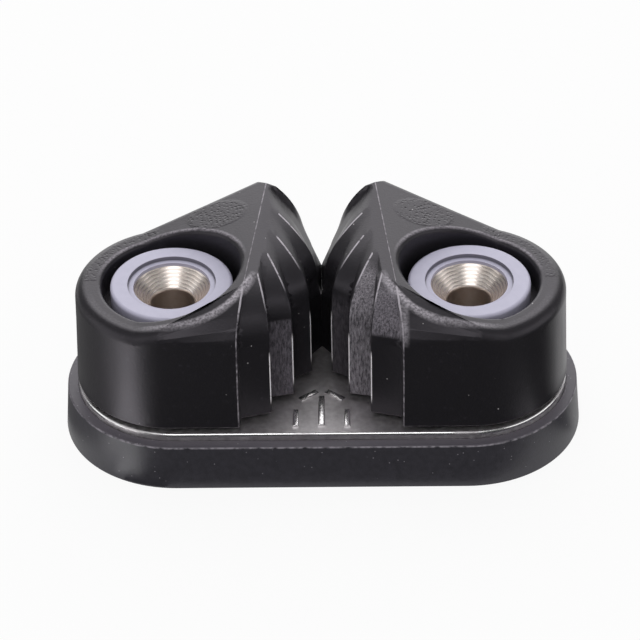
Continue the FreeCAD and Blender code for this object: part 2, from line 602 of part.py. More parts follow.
def make_cam():
    """Left cam: round wall, climbing top, rounded jaw with stepped teeth, pocket and recess."""
    body = start_body("cam_left")

    block = []
    for name, height in (("block_foot", "0"), ("block_top", BLOCK_HEIGHT)):
        section = start_sketch(body, name, height=f"{CAM_UNDERSIDE} + {height}")
        add_block_outline(section, height)
        block.append(section)
    make_loft(body, "PartDesign::AdditiveLoft", "block", block)
    climb = cut_climb(body)
    round_edges(body, "cam_rim", climb, is_outer_rim, "Sizes.cam_edge_round")
    cut_front(body)
    cut_jaw(body)
    cut_crown(body)

    pocket = start_sketch(body, "flange_pocket_outline", height=POCKET_FLOOR)
    add_circle(pocket, "Sizes.pocket_radius", "pocket")
    pocket_height = f"{CAM_BACK_TOP} + Sizes.cam_wall_radius - {POCKET_FLOOR}"
    cut_pocket(body, "flange_pocket", pocket, pocket_height, upward=True)
    bore = start_sketch(body, "bore_outline", height=CAM_UNDERSIDE)
    add_circle(bore, CAM_BORE, "bore")
    cut_pocket(body, "bore", bore, "Sizes.cam_back_height", upward=True)
    recess = start_sketch(body, "spring_recess_outline", height=CAM_UNDERSIDE)
    add_circle(recess, "Sizes.spring_recess_inner_radius", "hub")
    add_circle(recess, "Sizes.spring_recess_outer_radius", "recess")
    cut_pocket(body, "spring_recess", recess, "Sizes.spring_recess_depth", upward=True)
    leg_hole = start_sketch(body, "leg_hole_outline", height=CAM_UNDERSIDE)
    leg_x, leg_y = upper_leg_place()
    add_circle(leg_hole, LEG_HOLE_RADIUS, "leg", (f"-{leg_x}", f"-{leg_y}"))
    leg_depth = "Sizes.spring_recess_depth + Sizes.spring_leg_grip + Sizes.spring_leg_clearance"
    cut_pocket(body, "leg_hole", leg_hole, leg_depth, upward=True)
    return body


def is_outer_rim(edge):
    """Top edges of the block, but for the one on the rope's side and the crease across the top."""
    middle = edge.valueAt((edge.FirstParameter + edge.LastParameter) / 2)
    on_top = all(vertex.Z > formula_value(CAM_BACK_TOP) - 0.01 for vertex in edge.Vertexes)
    outside = math.hypot(middle.x, middle.y) > formula_value("0.9 * Sizes.cam_wall_radius")
    return on_top and outside and middle.x < formula_value(BLOCK_REACH) - 0.1


def add_block_outline(sketch, height):
    """The round wall, a straight back to beyond the nose, and a straight front."""
    radius = f"(Sizes.cam_wall_radius - {height} * tan(Sizes.cam_wall_draft))"
    front, back = on_round_wall("Sizes.front_angle", height), on_round_wall("Sizes.back_angle", height)
    slope = f"((Sizes.nose_back_y - {back[1]}) / (Sizes.nose_back_x - {back[0]}))"
    corners = [
        front,
        (BLOCK_REACH, front[1]),
        (BLOCK_REACH, f"({back[1]} + ({BLOCK_REACH} - {back[0]}) * {slope})"),
        back,
    ]
    places = [Vector(formula_value(x), formula_value(y), 0) for x, y in corners]
    start, end = math.atan2(places[3].y, places[3].x), math.atan2(places[0].y, places[0].x) + 2 * math.pi
    circle = Part.Circle(Vector(0, 0, 0), Vector(0, 0, 1), formula_value(radius))
    arc = sketch.addGeometry(Part.ArcOfCircle(circle, start, end))
    lines = [
        sketch.addGeometry(Part.LineSegment(start_place, end_place))
        for start_place, end_place in zip(places, places[1:])
    ]
    around = [arc] + lines
    for index, item in enumerate(around):
        after = around[(index + 1) % len(around)]
        sketch.addConstraint(Sketcher.Constraint("Coincident", item, 2, after, 1))
    sketch.addConstraint(Sketcher.Constraint("Coincident", arc, 3, -1, 1))
    bind(sketch, Sketcher.Constraint("Radius", arc, formula_value(radius)), "wall_radius", radius)
    bind(sketch, Sketcher.Constraint("DistanceX", arc, 2, places[0].x), "front_x", front[0])
    bind(sketch, Sketcher.Constraint("DistanceX", arc, 1, places[3].x), "back_x", back[0])
    for index in (1, 2):
        x, y = corners[index]
        across = Sketcher.Constraint("DistanceX", lines[index], 1, places[index].x)
        bind(sketch, across, f"corner_x{index}", x)
        along = Sketcher.Constraint("DistanceY", lines[index], 1, places[index].y)
        bind(sketch, along, f"corner_y{index}", y)


def cut_above(body, name, corners, direction=None):
    """Cut a side view's outline away over the whole depth of the cam."""
    side_view = start_sketch(body, name + "_profile", "XZ_Plane")
    add_polygon(side_view, corners)
    before = body.Shape.Volume
    cut = body.newObject("PartDesign::Pocket", name)
    cut.Profile = side_view
    cut.SideType = "Symmetric"
    cut.setExpression("Length", "6 * Sizes.cam_wall_radius")
    if direction:
        cut.UseCustomVector = True
        cut.Direction = Vector(0, 1, 0)
        cut.setExpression("Direction.z", direction)
    document.recompute()
    if body.Shape.Volume >= before:
        raise RuntimeError(f"{name} cuts nothing")
    return cut


def cut_climb(body):
    """The flat back of the top, and its climb towards the rope."""
    reach = "2 * Sizes.cam_wall_radius"
    ramp_end = f"({CAM_BACK_TOP} + ({reach} - Sizes.ramp_start) * Sizes.ramp_slope)"
    clear = f"({ramp_end} + {reach})"
    climb = [
        (f"-{reach}", CAM_BACK_TOP),
        ("Sizes.ramp_start", CAM_BACK_TOP),
        (reach, ramp_end),
        (reach, clear),
        (f"-{reach}", clear),
    ]
    return cut_above(body, "climb_cut", climb)


def cut_crown(body):
    """The narrow crown that falls from the ridge to the jaw."""
    reach = "2 * Sizes.cam_wall_radius"
    lean = "((Sizes.ridge_back_x - Sizes.ridge_front_x) / (Sizes.ridge_back_y - Sizes.ridge_front_y))"
    ridge_x = f"(Sizes.ridge_front_x - {lean} * Sizes.ridge_front_y)"
    ridge_z = f"({CAM_BACK_TOP} + ({ridge_x} - Sizes.ramp_start) * Sizes.ramp_slope)"
    clear = f"({ridge_z} + 2 * {reach})"
    crown = [
        (f"-{reach}", f"{ridge_z} + Sizes.crown_slope * ({ridge_x} + {reach})"),
        (reach, f"{ridge_z} + Sizes.crown_slope * ({ridge_x} - {reach})"),
        (reach, clear),
        (f"-{reach}", clear),
    ]
    return cut_above(body, "crown_cut", crown, f"{lean} * (Sizes.ramp_slope + Sizes.crown_slope)")


def make_right_twin(left, label):
    """The right-hand piece is the left one mirrored across the rope's path."""
    twin = document.addObject("Part::Mirroring", label)
    twin.Label = label
    twin.Source = left
    twin.Normal = Vector(1, 0, 0)
    twin.Base = Vector(0, 0, 0)
    document.recompute()
    return twin


def check_and_write(labels):
    """Stop on any failed object or bad solid, then write one file for each piece."""
    failed = [item.Name for item in document.Objects if {"Invalid", "Error"} & set(item.State)]
    if failed:
        raise RuntimeError(f"failed objects: {failed}")
    os.makedirs("parts", exist_ok=True)
    for label in labels:
        shape = document.getObjectsByLabel(label)[0].Shape
        if shape.isNull() or not shape.isValid() or shape.Volume <= 0 or len(shape.Solids) != 1:
            raise RuntimeError(f"{label} isn't one sound solid")
        shape.exportStep(f"parts/{label}.step")
        print(f"{label}: {shape.Volume / 1000:.3f} cm3, {len(shape.Faces)} faces")


make_riser()
make_plate()
for side, hand in ((-1, "left"), (1, "right")):
    make_sleeve(f"sleeve_{hand}", side)
    make_bush(f"bush_{hand}", side)
    make_washer(f"thrust_washer_{hand}", side)
make_right_twin(make_spring(), "spring_right")
cam = make_cam()
cam.setExpression("Placement.Base.x", "-Sizes.hole_spacing / 2")
document.recompute()
make_right_twin(cam, "cam_right")
sided = ("sleeve", "bush", "thrust_washer", "spring", "cam")
pairs = [f"{piece}_{hand}" for piece in sided for hand in ("left", "right")]
check_and_write(["base_riser", "base_plate"] + pairs)
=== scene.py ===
# %% [markdown]
# A cam cleat holds a rope between two toothed cams, and lets it go when the rope is lifted.
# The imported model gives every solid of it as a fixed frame, in metres, with the origin at
# the middle of the riser's underside. This lesson dresses that frame: it gives each part
# its finish, adds what the solids leave out, and lights it as in a small studio.

# %% Load the frame
import math
from types import SimpleNamespace

import bmesh
import bpy
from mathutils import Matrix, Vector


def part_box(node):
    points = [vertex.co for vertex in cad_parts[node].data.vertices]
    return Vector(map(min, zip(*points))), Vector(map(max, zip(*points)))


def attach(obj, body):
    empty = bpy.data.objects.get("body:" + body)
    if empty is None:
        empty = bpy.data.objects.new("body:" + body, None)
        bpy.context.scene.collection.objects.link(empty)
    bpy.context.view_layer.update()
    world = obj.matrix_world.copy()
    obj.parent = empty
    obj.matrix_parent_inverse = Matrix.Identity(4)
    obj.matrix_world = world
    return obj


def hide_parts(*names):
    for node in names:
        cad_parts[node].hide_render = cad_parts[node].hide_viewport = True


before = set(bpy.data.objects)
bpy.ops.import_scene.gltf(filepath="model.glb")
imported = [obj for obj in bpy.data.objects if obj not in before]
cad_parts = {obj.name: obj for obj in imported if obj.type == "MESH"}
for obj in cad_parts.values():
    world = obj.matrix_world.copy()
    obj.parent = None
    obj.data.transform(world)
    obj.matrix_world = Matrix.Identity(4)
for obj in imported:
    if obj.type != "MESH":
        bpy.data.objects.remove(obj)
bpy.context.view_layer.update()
print("solids:", sorted(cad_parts))

# %% [markdown]
# Sizes on this object are read in millimetres, while Blender's unit here is the metre. One
# name for a millimetre keeps every length below readable. Noise and cell patterns are scaled
# by how many grains fit in a metre, so their size is worked out from the grain's real width.
# The cams turn about the two screw holes, and most marks on them are placed from there.

# %% Millimetres and grains
MM = 0.001
HOLE_SPACING = 38.0 * MM
PIVOT = HOLE_SPACING / 2


def grains(width_mm):
    """The pattern scale at which one grain is this many millimetres wide."""
    return 1000.0 / width_mm


def top_of(node):
    """The height of a solid's highest point."""
    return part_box(node)[1][2]


PLATE_TOP = top_of("base_plate")
print("plate top", round(PLATE_TOP / MM, 2), "mm, highest point", round(top_of("cam_left") / MM, 2), "mm")

# %% [markdown]
# Colours are picked from a screen, so they are written as sRGB hex values. Blender's shaders
# work in linear light, and one function turns the first into the second.

# %% Colours
def linear(hex_colour):
    """An sRGB hex value as the linear colour that a shader socket takes."""
    parts = [int(hex_colour[i:i + 2], 16) / 255 for i in (1, 3, 5)]
    return (*[p / 12.92 if p <= 0.04045 else ((p + 0.055) / 1.055) ** 2.4 for p in parts], 1.0)


print("mid grey is", [round(v, 3) for v in linear("#808080")])

# %% [markdown]
# A material is a small web of nodes. Each finish below needs a few dozen of them, so one
# function adds a node, sets what it is told, and joins its inputs. An input that is given a
# socket is linked to it, and one that is given a number or a colour keeps that value.

# %% Nodes
def add(material, kind, settings=None, **inputs):
    """Adds a node with its settings, and links or sets its inputs, named with _ for a space.

    Inputs that share one name, as a Math node's do, are given by number: in0, in1.
    """
    tree = material.node_tree
    node = tree.nodes.new(kind)
    for name, value in (settings or {}).items():
        setattr(node, name, value)
    for name, value in inputs.items():
        key = int(name[2:]) if name.startswith("in") and name[2:].isdigit() else name.replace("_", " ")
        socket = node.inputs[key]
        if isinstance(value, bpy.types.NodeSocket):
            tree.links.new(value, socket)
        else:
            socket.default_value = value
    return node


def new_finish(name, **sockets):
    """A material with one Principled shader whose sockets start at these values."""
    material = bpy.data.materials.new(name)
    material.use_nodes = True
    shader = material.node_tree.nodes["Principled BSDF"]
    for socket, value in sockets.items():
        shader.inputs[socket.replace("_", " ")].default_value = value
    return material, shader


def join(material, output, socket):
    """Links one node's output to a socket of another."""
    material.node_tree.links.new(output, socket)


print("node helpers ready")

# %% [markdown]
# Some marks follow the object rather than its surface: a painted highlight on the brow, a stippled patch, a
# rubbed edge with a painted highlight on it. They could be painted on by hand, but then they would have to be
# painted again after each change of shape. Here they are masks, worked out from where a point lies. Both cams
# share one set of plan coordinates about their own pivot, so a mark is written once.

# %% Where a mark lies
def plan_about_pivot(material):
    """A point's own coordinates, and its place on a cam, the same for both cams.

    across is its X from the nearer pivot, away from the rope, along its Y, and radius how
    far it is from that pivot in plan. right is 1 on the right cam and 0 on the left.
    """
    place = add(material, "ShaderNodeTexCoord").outputs["Object"]
    part = add(material, "ShaderNodeSeparateXYZ", Vector=place)
    side = add(material, "ShaderNodeMath", {"operation": "ABSOLUTE"}, in0=part.outputs["X"])
    across = add(material, "ShaderNodeMath", {"operation": "SUBTRACT"}, in0=side.outputs[0], in1=PIVOT)
    plan = add(material, "ShaderNodeCombineXYZ", X=across.outputs[0], Y=part.outputs["Y"])
    distance = add(material, "ShaderNodeVectorMath", {"operation": "LENGTH"}, in0=plan.outputs[0])
    right = add(material, "ShaderNodeMath", {"operation": "GREATER_THAN"}, in0=part.outputs["X"], in1=0.0)
    return SimpleNamespace(
        place=place, plan=plan.outputs[0], across=across.outputs[0], along=part.outputs["Y"],
        height=part.outputs["Z"], radius=distance.outputs["Value"], right=right.outputs[0])


def where_all(material, *masks):
    """A mask that holds where all of these do. A plain number among them weakens it."""
    result = masks[0]
    for mask in masks[1:]:
        both = add(material, "ShaderNodeMath", {"operation": "MULTIPLY"}, in0=result, in1=mask)
        result = both.outputs[0]
    return result


def where_any(material, *masks):
    """A mask that holds where any of these does."""
    result = masks[0]
    for mask in masks[1:]:
        either = add(material, "ShaderNodeMath", {"operation": "ADD", "use_clamp": True},
                     in0=result, in1=mask)
        result = either.outputs[0]
    return result


def fade(material, value, start, full):
    """A mask that goes from 0 at start to 1 at full, both in millimetres."""
    mask = add(material, "ShaderNodeMapRange", Value=value, From_Min=start * MM, From_Max=full * MM)
    return mask.outputs[0]


def band(material, value, start, full, last, end):
    """A mask that is 1 from full to last and fades to 0 at start and at end, all in millimetres."""
    return where_all(material, fade(material, value, start, full), fade(material, value, end, last))


def oval(material, at, centre, radii):
    """A soft-edged oval in plan: 1 inside and 0 outside."""
    squares = []
    for value, middle, radius in zip((at.across, at.along), centre, radii):
        shifted = add(material, "ShaderNodeMath", {"operation": "SUBTRACT"}, in0=value, in1=middle * MM)
        scaled = add(material, "ShaderNodeMath", {"operation": "DIVIDE"},
                     in0=shifted.outputs[0], in1=radius * MM)
        square = add(material, "ShaderNodeMath", {"operation": "POWER"}, in0=scaled.outputs[0], in1=2.0)
        squares.append(square.outputs[0])
    total = add(material, "ShaderNodeMath", {"operation": "ADD"}, in0=squares[0], in1=squares[1])
    edge = add(material, "ShaderNodeMapRange", Value=total.outputs[0], From_Min=1.1, From_Max=0.85)
    return edge.outputs[0]


print("masks ready")

# %% [markdown]
# A mask is of use once a colour is laid over another by it. Dust settles on every moulded
# face as tiny pale specks. A cell pattern gives them: one speck at the middle of each cell,
# and only in the cells whose random colour is bright enough.

# %% Laying a tone over another
def painted(material, mask, under, over):
    """One colour laid over another by a mask. Each is a hex value or a socket."""
    node = add(material, "ShaderNodeMix", {"data_type": "RGBA"}, in0=mask)
    for socket, colour in ((node.inputs[6], under), (node.inputs[7], over)):
        if isinstance(colour, str):
            socket.default_value = linear(colour)
        else:
            join(material, colour, socket)
    return node.outputs[2]


def dust(material, place, spacing, bright, edge, full):
    """A mask of specks in cells that are spacing mm wide and at least this bright.

    A speck starts at edge and is whole at full, both as shares of a cell from its middle.
    """
    cells = add(material, "ShaderNodeTexVoronoi", Vector=place, Scale=grains(spacing))
    chosen = add(material, "ShaderNodeMath", {"operation": "GREATER_THAN"},
                 in0=cells.outputs["Color"], in1=bright)
    speck = add(material, "ShaderNodeMapRange", Value=cells.outputs["Distance"], From_Min=edge, From_Max=full)
    return where_all(material, chosen.outputs[0], speck.outputs[0])


print("tones and dust ready")

# %% [markdown]
# Two places on each cam carry a stippled patch, cast with the part: an oval on the ramp behind the pocket,
# and a short band on the rim. A painted highlight lies on the round of the brow that runs round the front of
# the pocket, and another on the pocket's lip at the back, both broken up by the grain. On some steps of the
# jaw the spark eroded mould has left a coarse skin in streaks up the face, whose peaks get a painted
# highlight, and it stops at a clear edge, below the crown at the latest. All of these have fixed places, so
# they are masks. The coarse noise is squeezed in Z, which draws it out. Radii and heights are in millimetres:
# the pocket's radius, the flat top beside it, and where the coarse skin ends.

# %% Marks on the cams
POCKET_RADIUS = 8.95
BACK_TOP = 21.8
CROWN_SKIN_END = (24.8, 24.2)
STREAK = 0.22


def painted_brow_highlight(material, at):
    """A painted highlight in a ring at the front of the pocket, and on the right cam a painted highlight spot
    at the front corner.

    The ring lies 0.3 mm further out towards the rope on the left cam, and 0.7 mm on the right.
    """
    shift = add(material, "ShaderNodeMath", {"operation": "MULTIPLY_ADD"},
                in0=at.right, in1=0.4 * MM, in2=0.3 * MM)
    drift = add(material, "ShaderNodeMath", {"operation": "MULTIPLY"},
                in0=shift.outputs[0], in1=fade(material, at.across, -2.0, -7.0))
    radius = add(material, "ShaderNodeMath", {"operation": "SUBTRACT"}, in0=at.radius, in1=drift.outputs[0])
    towards_rope = add(material, "ShaderNodeMapRange", Value=at.across, From_Min=4.5 * MM,
                       From_Max=-8.0 * MM, To_Min=0.25, To_Max=1.0)
    ring = where_all(material, band(material, radius.outputs[0], 10.1, 10.4, 10.75, 11.45),
                     fade(material, at.along, -2.2, -4.2),
                     fade(material, at.height, BACK_TOP - 0.2, BACK_TOP + 0.5), towards_rope.outputs[0])
    corner = where_all(material, band(material, at.across, -9.15, -8.95, -8.3, -7.7),
                       fade(material, at.along, -7.6, -9.0), fade(material, at.height, 20.2, 21.4),
                       at.right, 0.5)
    return where_any(material, ring, corner)


def painted_lip_highlight(material, at):
    """The round of the pocket's lip, with a painted highlight only at the back."""
    edge = POCKET_RADIUS
    return where_all(material, band(material, at.radius, edge + 0.2, edge + 0.4, edge + 0.65, edge + 0.9),
                     fade(material, at.along, 1.0, 5.0),
                     fade(material, at.height, BACK_TOP - 0.9, BACK_TOP - 0.6))


def stippled_patches(material, at):
    """The stippled oval on the ramp, and the band on the rim."""
    patch = oval(material, at, (-5.6, 11.3), (3.9, 2.9))
    rim = where_all(material, band(material, at.radius, 9.5, 9.8, 11.0, 11.3),
                    fade(material, at.across, 2.0, 2.3), fade(material, at.along, 0.2, 0.5))
    return where_any(material, patch, rim)


def coarse_skin(material, at, heights):
    """Where a coarse skin's peaks get a painted highlight, and its relief. It sets in over these two heights
    in mm.
    """
    drawn = add(material, "ShaderNodeMapping", {"vector_type": "POINT"},
                Vector=at.place, Scale=(1.0, 1.0, STREAK))
    rough = add(material, "ShaderNodeTexNoise", Vector=drawn.outputs[0], Scale=grains(0.21), Detail=5.0,
                Roughness=0.75)
    covered = where_all(material, fade(material, at.height, *heights),
                        fade(material, at.height, *CROWN_SKIN_END))
    peaks = add(material, "ShaderNodeMapRange", Value=rough.outputs[0], From_Min=0.36, From_Max=0.7)
    return where_all(material, covered, peaks.outputs[0]), where_all(material, covered, rough.outputs[0])


print("marks on the cams ready")

# %% [markdown]
# The cams are moulded from black nylon filled with short glass fibre. Its own colour is
# nearly black, and most of what the eye sees is gloss: the tops are grey because they mirror
# the bright side of the studio, and the fronts stay dark. Nylon's IOR is about 1.53. Cloudy
# roughness, a fine grain from the mould and a few scuffs keep the gloss from looking wet.
# One function makes the plain skin and its scuffed, highlit and coarse kinds, because they have all the rest
# in common. A stipple is a field of small round pits, which a cell pattern gives.

# %% Moulded nylon for the cams
BLACK = "#1f1e21"
SCUFFED_BLACK = "#2f2d32"


def moulded_nylon(name, colour=BLACK, scuff_and_highlight=SCUFFED_BLACK, wear=(0.62, 0.8), rubbed=None,
                  coarse=None, skin_highlight_tone="#6f6a72"):
    """Black glass-filled nylon, with its dust, painted highlights on brow and lip, and stippled patches.

    scuff_and_highlight is the tone of its scuffs, and on the rubbed kinds a painted highlight as well; wear
    the noise levels between which they set in, and rubbed the heights in mm that keep them. coarse is the two
    heights over which a coarse skin sets in, and skin_highlight_tone the tone of the painted highlight on its
    peaks.
    """
    material, shader = new_finish(name, IOR=1.53, Specular_IOR_Level=0.5, Specular_Tint=linear("#f6eefa"))
    at = plan_about_pivot(material)
    grain = add(material, "ShaderNodeTexNoise", Vector=at.place, Scale=grains(0.3), Detail=5.0)
    scuff_and_highlight_noise = add(material, "ShaderNodeTexNoise", Vector=at.place, Scale=grains(0.7), Detail=7.0)
    scuffed = add(material, "ShaderNodeMapRange", Value=scuff_and_highlight_noise.outputs[0], From_Min=wear[0], From_Max=wear[1])
    amount = scuffed.outputs[0]
    if rubbed:
        low, high = rubbed
        amount = where_all(material, amount, band(material, at.height, low, low + 1.0, high - 1.0, high))
    tone = painted(material, amount, colour, scuff_and_highlight)
    tone = painted(material, dust(material, at.place, 1.7, 0.58, 0.06, 0.035), tone, "#b5b1b2")

    grit = add(material, "ShaderNodeMapRange", Value=grain.outputs[0], From_Min=0.35, From_Max=0.65,
               To_Min=0.3, To_Max=1.0)
    brow = where_all(material, painted_brow_highlight(material, at), grit.outputs[0])
    lip = where_all(material, painted_lip_highlight(material, at), grit.outputs[0], 0.8)
    # Painted highlights: the brow's round and the pocket's lip at the back are painted pale, broken up by the
    # grain.
    tone = painted(material, brow, tone, "#b2adb4")
    tone = painted(material, lip, tone, "#8d888f")

    pits = add(material, "ShaderNodeTexVoronoi", Vector=at.place, Scale=grains(0.5))
    pit = add(material, "ShaderNodeMapRange", Value=pits.outputs["Distance"], From_Min=0.1, From_Max=0.5)
    stipple = where_all(material, stippled_patches(material, at), pit.outputs[0], 0.9)
    relief = add(material, "ShaderNodeMath", {"operation": "MULTIPLY_ADD"},
                 in0=grain.outputs[0], in1=0.4, in2=stipple)
    if coarse:
        peaks, streaks = coarse_skin(material, at, coarse)
        # Painted highlight: the coarse skin's peaks are painted pale, as if catching the light.
        tone = painted(material, peaks, tone, skin_highlight_tone)
        relief = add(material, "ShaderNodeMath", {"operation": "MULTIPLY_ADD"},
                     in0=streaks, in1=1.6, in2=relief.outputs[0])
    bump = add(material, "ShaderNodeBump", Height=relief.outputs[0], Strength=0.8, Distance=0.06 * MM)
    cloud = add(material, "ShaderNodeTexNoise", Vector=at.place, Scale=grains(7.0), Detail=3.0)
    gloss = add(material, "ShaderNodeMapRange", Value=cloud.outputs[0], To_Min=0.34, To_Max=0.42)
    join(material, tone, shader.inputs["Base Color"])
    join(material, gloss.outputs[0], shader.inputs["Roughness"])
    join(material, bump.outputs[0], shader.inputs["Normal"])
    return material


nylon = moulded_nylon("black_glass_filled_nylon")
# Painted highlights: the crests are painted near white where rope rubs them, and the arcs over the crown a
# paler grey.
rubbed_crest_and_highlight = moulded_nylon("nylon_rubbed_by_rope", scuff_and_highlight="#f2eef1", wear=(0.2, 0.42), rubbed=(9.4, 17.9))
arc_highlight = moulded_nylon("nylon_rubbed_on_the_crown", scuff_and_highlight="#aaa5ac", wear=(0.25, 0.45),
                           rubbed=(23.0, 26.5))
# The scuffed edge's paler tone is partly a painted highlight along the ridge, the foot and the front corner.
scuffed_edge_and_highlight = moulded_nylon("nylon_with_a_scuffed_and_highlit_edge", "#3d3a3f", scuff_and_highlight="#8d888e", wear=(0.36, 0.62))
# Each coarse step has its own painted highlight tone, like lit and shaded copies of one skin.
coarse_foot = moulded_nylon("nylon_coarse_at_the_foot", coarse=(20.3, 19.9))
coarse_head = moulded_nylon("nylon_coarse_at_the_head", coarse=(20.3, 20.8), skin_highlight_tone="#827d85")
coarse_nylon = moulded_nylon("coarse_nylon", coarse=(1.0, 2.0), skin_highlight_tone="#9b969d")
faint_coarse = moulded_nylon("faintly_coarse_nylon", coarse=(21.0, 19.0), skin_highlight_tone="#5a565c")
print("finishes:", [m.name for m in bpy.data.materials if "nylon" in m.name])

# %% [markdown]
# The riser lifts the cleat to the height of the rope. It is moulded in a softer, duller
# plastic than the cams, a dark grey with a hint of violet, and shows a faint coarse mottle.
# Its top face, a narrow ledge round the plate, is painted paler as painted light on a face that looks up, and
# the round edge below it gets a painted highlight, broken up by the mottle. One noise gives the mottle, the
# broken highlight and the clouded gloss, as one skin does.

# %% Moulded plastic for the riser
RISER_TOP = top_of("base_riser") / MM


def riser_plastic():
    """Dark grey polypropylene: a mottled matt skin, painted light on the ledge and a painted highlight on the
    top edge.
    """
    material, shader = new_finish("matt_grey_polypropylene", IOR=1.49, Specular_IOR_Level=0.5)
    place = add(material, "ShaderNodeTexCoord").outputs["Object"]
    height = add(material, "ShaderNodeSeparateXYZ", Vector=place).outputs["Z"]
    mottle = add(material, "ShaderNodeTexNoise", Vector=place, Scale=grains(0.7), Detail=5.0)
    scuff_and_highlight_noise = add(material, "ShaderNodeMapRange", Value=mottle.outputs[0], From_Min=0.35, From_Max=0.6)
    # Painted light: the ledge's top face is painted paler, and the round edge below it gets a painted
    # highlight broken up by the mottle.
    ledge = fade(material, height, RISER_TOP - 0.1, RISER_TOP - 0.04)
    edge = band(material, height, RISER_TOP - 0.3, RISER_TOP - 0.2, RISER_TOP - 0.08, RISER_TOP - 0.03)
    tone = painted(material, mottle.outputs[0], "#2a292e", "#3c3a42")
    tone = painted(material, ledge, tone, "#57535b")
    tone = painted(material, where_all(material, edge, scuff_and_highlight_noise.outputs[0]), tone, "#8a858d")
    tone = painted(material, dust(material, place, 0.9, 0.45, 0.1, 0.06), tone, "#8d8990")
    gloss = add(material, "ShaderNodeMapRange", Value=mottle.outputs[0], To_Min=0.38, To_Max=0.52)
    grain = add(material, "ShaderNodeTexNoise", Vector=place, Scale=grains(0.3), Detail=5.0)
    bump = add(material, "ShaderNodeBump", Height=grain.outputs[0], Strength=0.4, Distance=0.04 * MM)
    join(material, tone, shader.inputs["Base Color"])
    join(material, gloss.outputs[0], shader.inputs["Roughness"])
    join(material, bump.outputs[0], shader.inputs["Normal"])
    return material


polypropylene = riser_plastic()
print("finish:", polypropylene.name)

# %% [markdown]
# The ring round each pivot is acetal, a slippery bearing plastic in a lavender grey. It is turned or moulded
# smooth, so it has a satin gloss and only the faintest clouding. A painted shade darkens the low wall of the
# step round the sleeve, and draws a thin dark ring there. The washers under the cams are the same plastic in
# its natural white.

# %% Acetal for the bushes and washers
BUSH_TOP = top_of("bush_left") / MM
STEP_RADIUS = 5.65


def acetal(name, colour, shade):
    """Satin acetal, clouded between two close tones, with painted shade on the wall of the bush's step."""
    material, shader = new_finish(name, IOR=1.48, Specular_IOR_Level=0.4)
    at = plan_about_pivot(material)
    cloud = add(material, "ShaderNodeTexNoise", Vector=at.place, Scale=grains(1.2), Detail=4.0)
    wall = band(material, at.radius, STEP_RADIUS - 0.25, STEP_RADIUS - 0.03, STEP_RADIUS + 0.03,
                STEP_RADIUS + 0.07)
    # Painted shade: the low wall of the step is darkened where shade falls in the recess.
    painted_shade_in_step = where_all(material, wall, fade(material, at.height, BUSH_TOP + 0.02, BUSH_TOP - 0.06), 0.75)
    tone = painted(material, cloud.outputs[0], shade, colour)
    tone = painted(material, painted_shade_in_step, tone, "#4d4b52")
    gloss = add(material, "ShaderNodeMapRange", Value=cloud.outputs[0], To_Min=0.34, To_Max=0.46)
    grain = add(material, "ShaderNodeTexNoise", Vector=at.place, Scale=grains(0.2), Detail=3.0)
    bump = add(material, "ShaderNodeBump", Height=grain.outputs[0], Strength=0.15, Distance=0.01 * MM)
    join(material, tone, shader.inputs["Base Color"])
    join(material, gloss.outputs[0], shader.inputs["Roughness"])
    join(material, bump.outputs[0], shader.inputs["Normal"])
    return material


bush_acetal = acetal("lavender_acetal", "#c1bed1", "#b1afc3")
washer_acetal = acetal("natural_acetal", "#c9c8c4", "#bcbbb8")
print("finishes:", bush_acetal.name, washer_acetal.name)

# %% [markdown]
# The sleeve that carries each cam is stainless steel, turned on a lathe. The tool leaves
# fine circles round the pivot, which break the gloss into rings. A wave pattern of rings
# draws them, and because it reads the plan about the nearer pivot, one pattern serves both
# sleeves. A ring pattern of scale 1 repeats every 0.314 units, so the scale takes that in.

# %% Turned stainless steel for the sleeves
WAVE_REPEAT = 0.314
FEED_MM = 0.34


def turned_steel():
    """Stainless steel with the lathe's feed marks in circles round the pivot."""
    material, shader = new_finish("turned_stainless_steel", Metallic=1.0)
    at = plan_about_pivot(material)
    rings = add(material, "ShaderNodeTexWave", {"wave_type": "RINGS", "rings_direction": "Z"},
                Vector=at.plan, Scale=WAVE_REPEAT * grains(FEED_MM), Distortion=2.0,
                Detail=3.0, Detail_Scale=0.6)
    smear = add(material, "ShaderNodeTexNoise", Vector=at.place, Scale=grains(0.9), Detail=6.0)
    tone = painted(material, smear.outputs[0], "#e6d6cb", "#fff8f3")
    gloss = add(material, "ShaderNodeMapRange", Value=rings.outputs["Fac"], To_Min=0.25, To_Max=0.4)
    bump = add(material, "ShaderNodeBump", Height=rings.outputs["Fac"], Strength=0.5, Distance=0.02 * MM)
    join(material, tone, shader.inputs["Base Color"])
    join(material, gloss.outputs[0], shader.inputs["Roughness"])
    join(material, bump.outputs[0], shader.inputs["Normal"])
    return material


lathe_steel = turned_steel()
print("finish:", lathe_steel.name)

# %% [markdown]
# The base plate is stainless sheet, pressed and barrel polished. Tumbling leaves a satin
# skin with faint waves, so it shows blurred patches of what stands on it. Its rolled edge
# and the raised mark are rubbed bright by handling, and give sharp glints. One function
# makes both finishes, from two tones and two roughnesses.

